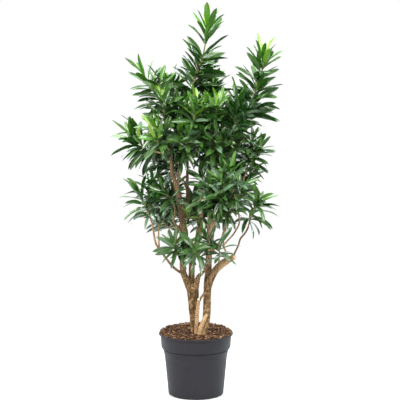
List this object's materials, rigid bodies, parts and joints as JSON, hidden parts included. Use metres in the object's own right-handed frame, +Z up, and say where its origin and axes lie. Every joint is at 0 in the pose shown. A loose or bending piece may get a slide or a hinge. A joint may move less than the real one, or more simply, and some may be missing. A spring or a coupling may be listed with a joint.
{
  "type": "potted dracaena",
  "caption": "Tall green-leaved dracaena with forking stems and separate masses of lance-shaped leaves, in a round nursery pot filled with bark soil.",
  "frame": {"origin": "middle of the pot's flat underside", "axes": "+Z up along the pot's axis, -Y towards the viewer of the picture, +X to the viewer's right"},
  "size_m": [0.6858, 0.5568, 1.5694],
  "materials": {
    "pot_plastic": "satin, moulded",
    "soil_mix": "moist bark chips and peat",
    "bark": "matt, ringed with leaf scars",
    "bark_pale": "matt, ringed with leaf scars",
    "bark_reddish": "matt, ringed with leaf scars",
    "leaf_dark": "leathery, half gloss",
    "leaf_green": "leathery, half gloss",
    "leaf_bright": "leathery, half gloss"
  },
  "bodies": {
    "root": {"pot": "pot_plastic", "soil": "soil_mix", "stem_front": "bark_pale", "trunk_left": "bark", "trunk_right": "bark", "bough_crossing": "bark_reddish", "bough_front": "bark_pale", "bough_left": "bark", "bough_left_inner": "bark_pale", "bough_left_outer": "bark_pale", "bough_left_thin": "bark", "bough_left_young": "bark_pale", "bough_middle": "bark", "bough_middle_left": "bark_pale", "bough_middle_right": "bark_pale", "bough_middle_thin": "bark", "bough_right": "bark", "bough_right_low": "bark", "bough_right_outer": "bark", "bough_right_stub": "bark_pale", "bough_stub_inner": "bark_pale", "bough_stub_inner_left": "bark_pale", "bough_stub_inner_right": "bark_pale", "bough_stub_outer": "bark_reddish", "mass_back_centre": "leaf_dark", "mass_back_left": "leaf_dark", "mass_back_low_left": "leaf_dark", "mass_back_low_right": "leaf_dark", "mass_back_right": "leaf_dark", "mass_centre": "leaf_dark", "mass_centre_front": "leaf_bright", "mass_centre_low": "leaf_dark", "mass_centre_right": "leaf_dark", "mass_crest": "leaf_green", "mass_front_low": "leaf_green", "mass_front_middle": "leaf_dark", "mass_left_bright": "leaf_bright", "mass_left_centre": "leaf_dark", "mass_left_front": "leaf_bright", "mass_left_inner": "leaf_green", "mass_left_low": "leaf_green", "mass_left_low_front": "leaf_dark", "mass_left_middle": "leaf_green", "mass_left_top": "leaf_green", "mass_low_back": "leaf_dark", "mass_middle_back": "leaf_dark", "mass_middle_tuft": "leaf_dark", "mass_right_bright": "leaf_bright", "mass_right_front": "leaf_green", "mass_right_hanging": "leaf_green", "mass_right_inner": "leaf_dark", "mass_right_low": "leaf_dark", "mass_right_low_front": "leaf_dark", "mass_right_middle": "leaf_green", "mass_right_middle_low": "leaf_green", "mass_right_top": "leaf_green", "mass_top": "leaf_green", "mass_top_back": "leaf_green", "mass_trunk_tuft": "leaf_bright", "mass_young_left": "leaf_dark"}
  },
  "joints": []
}
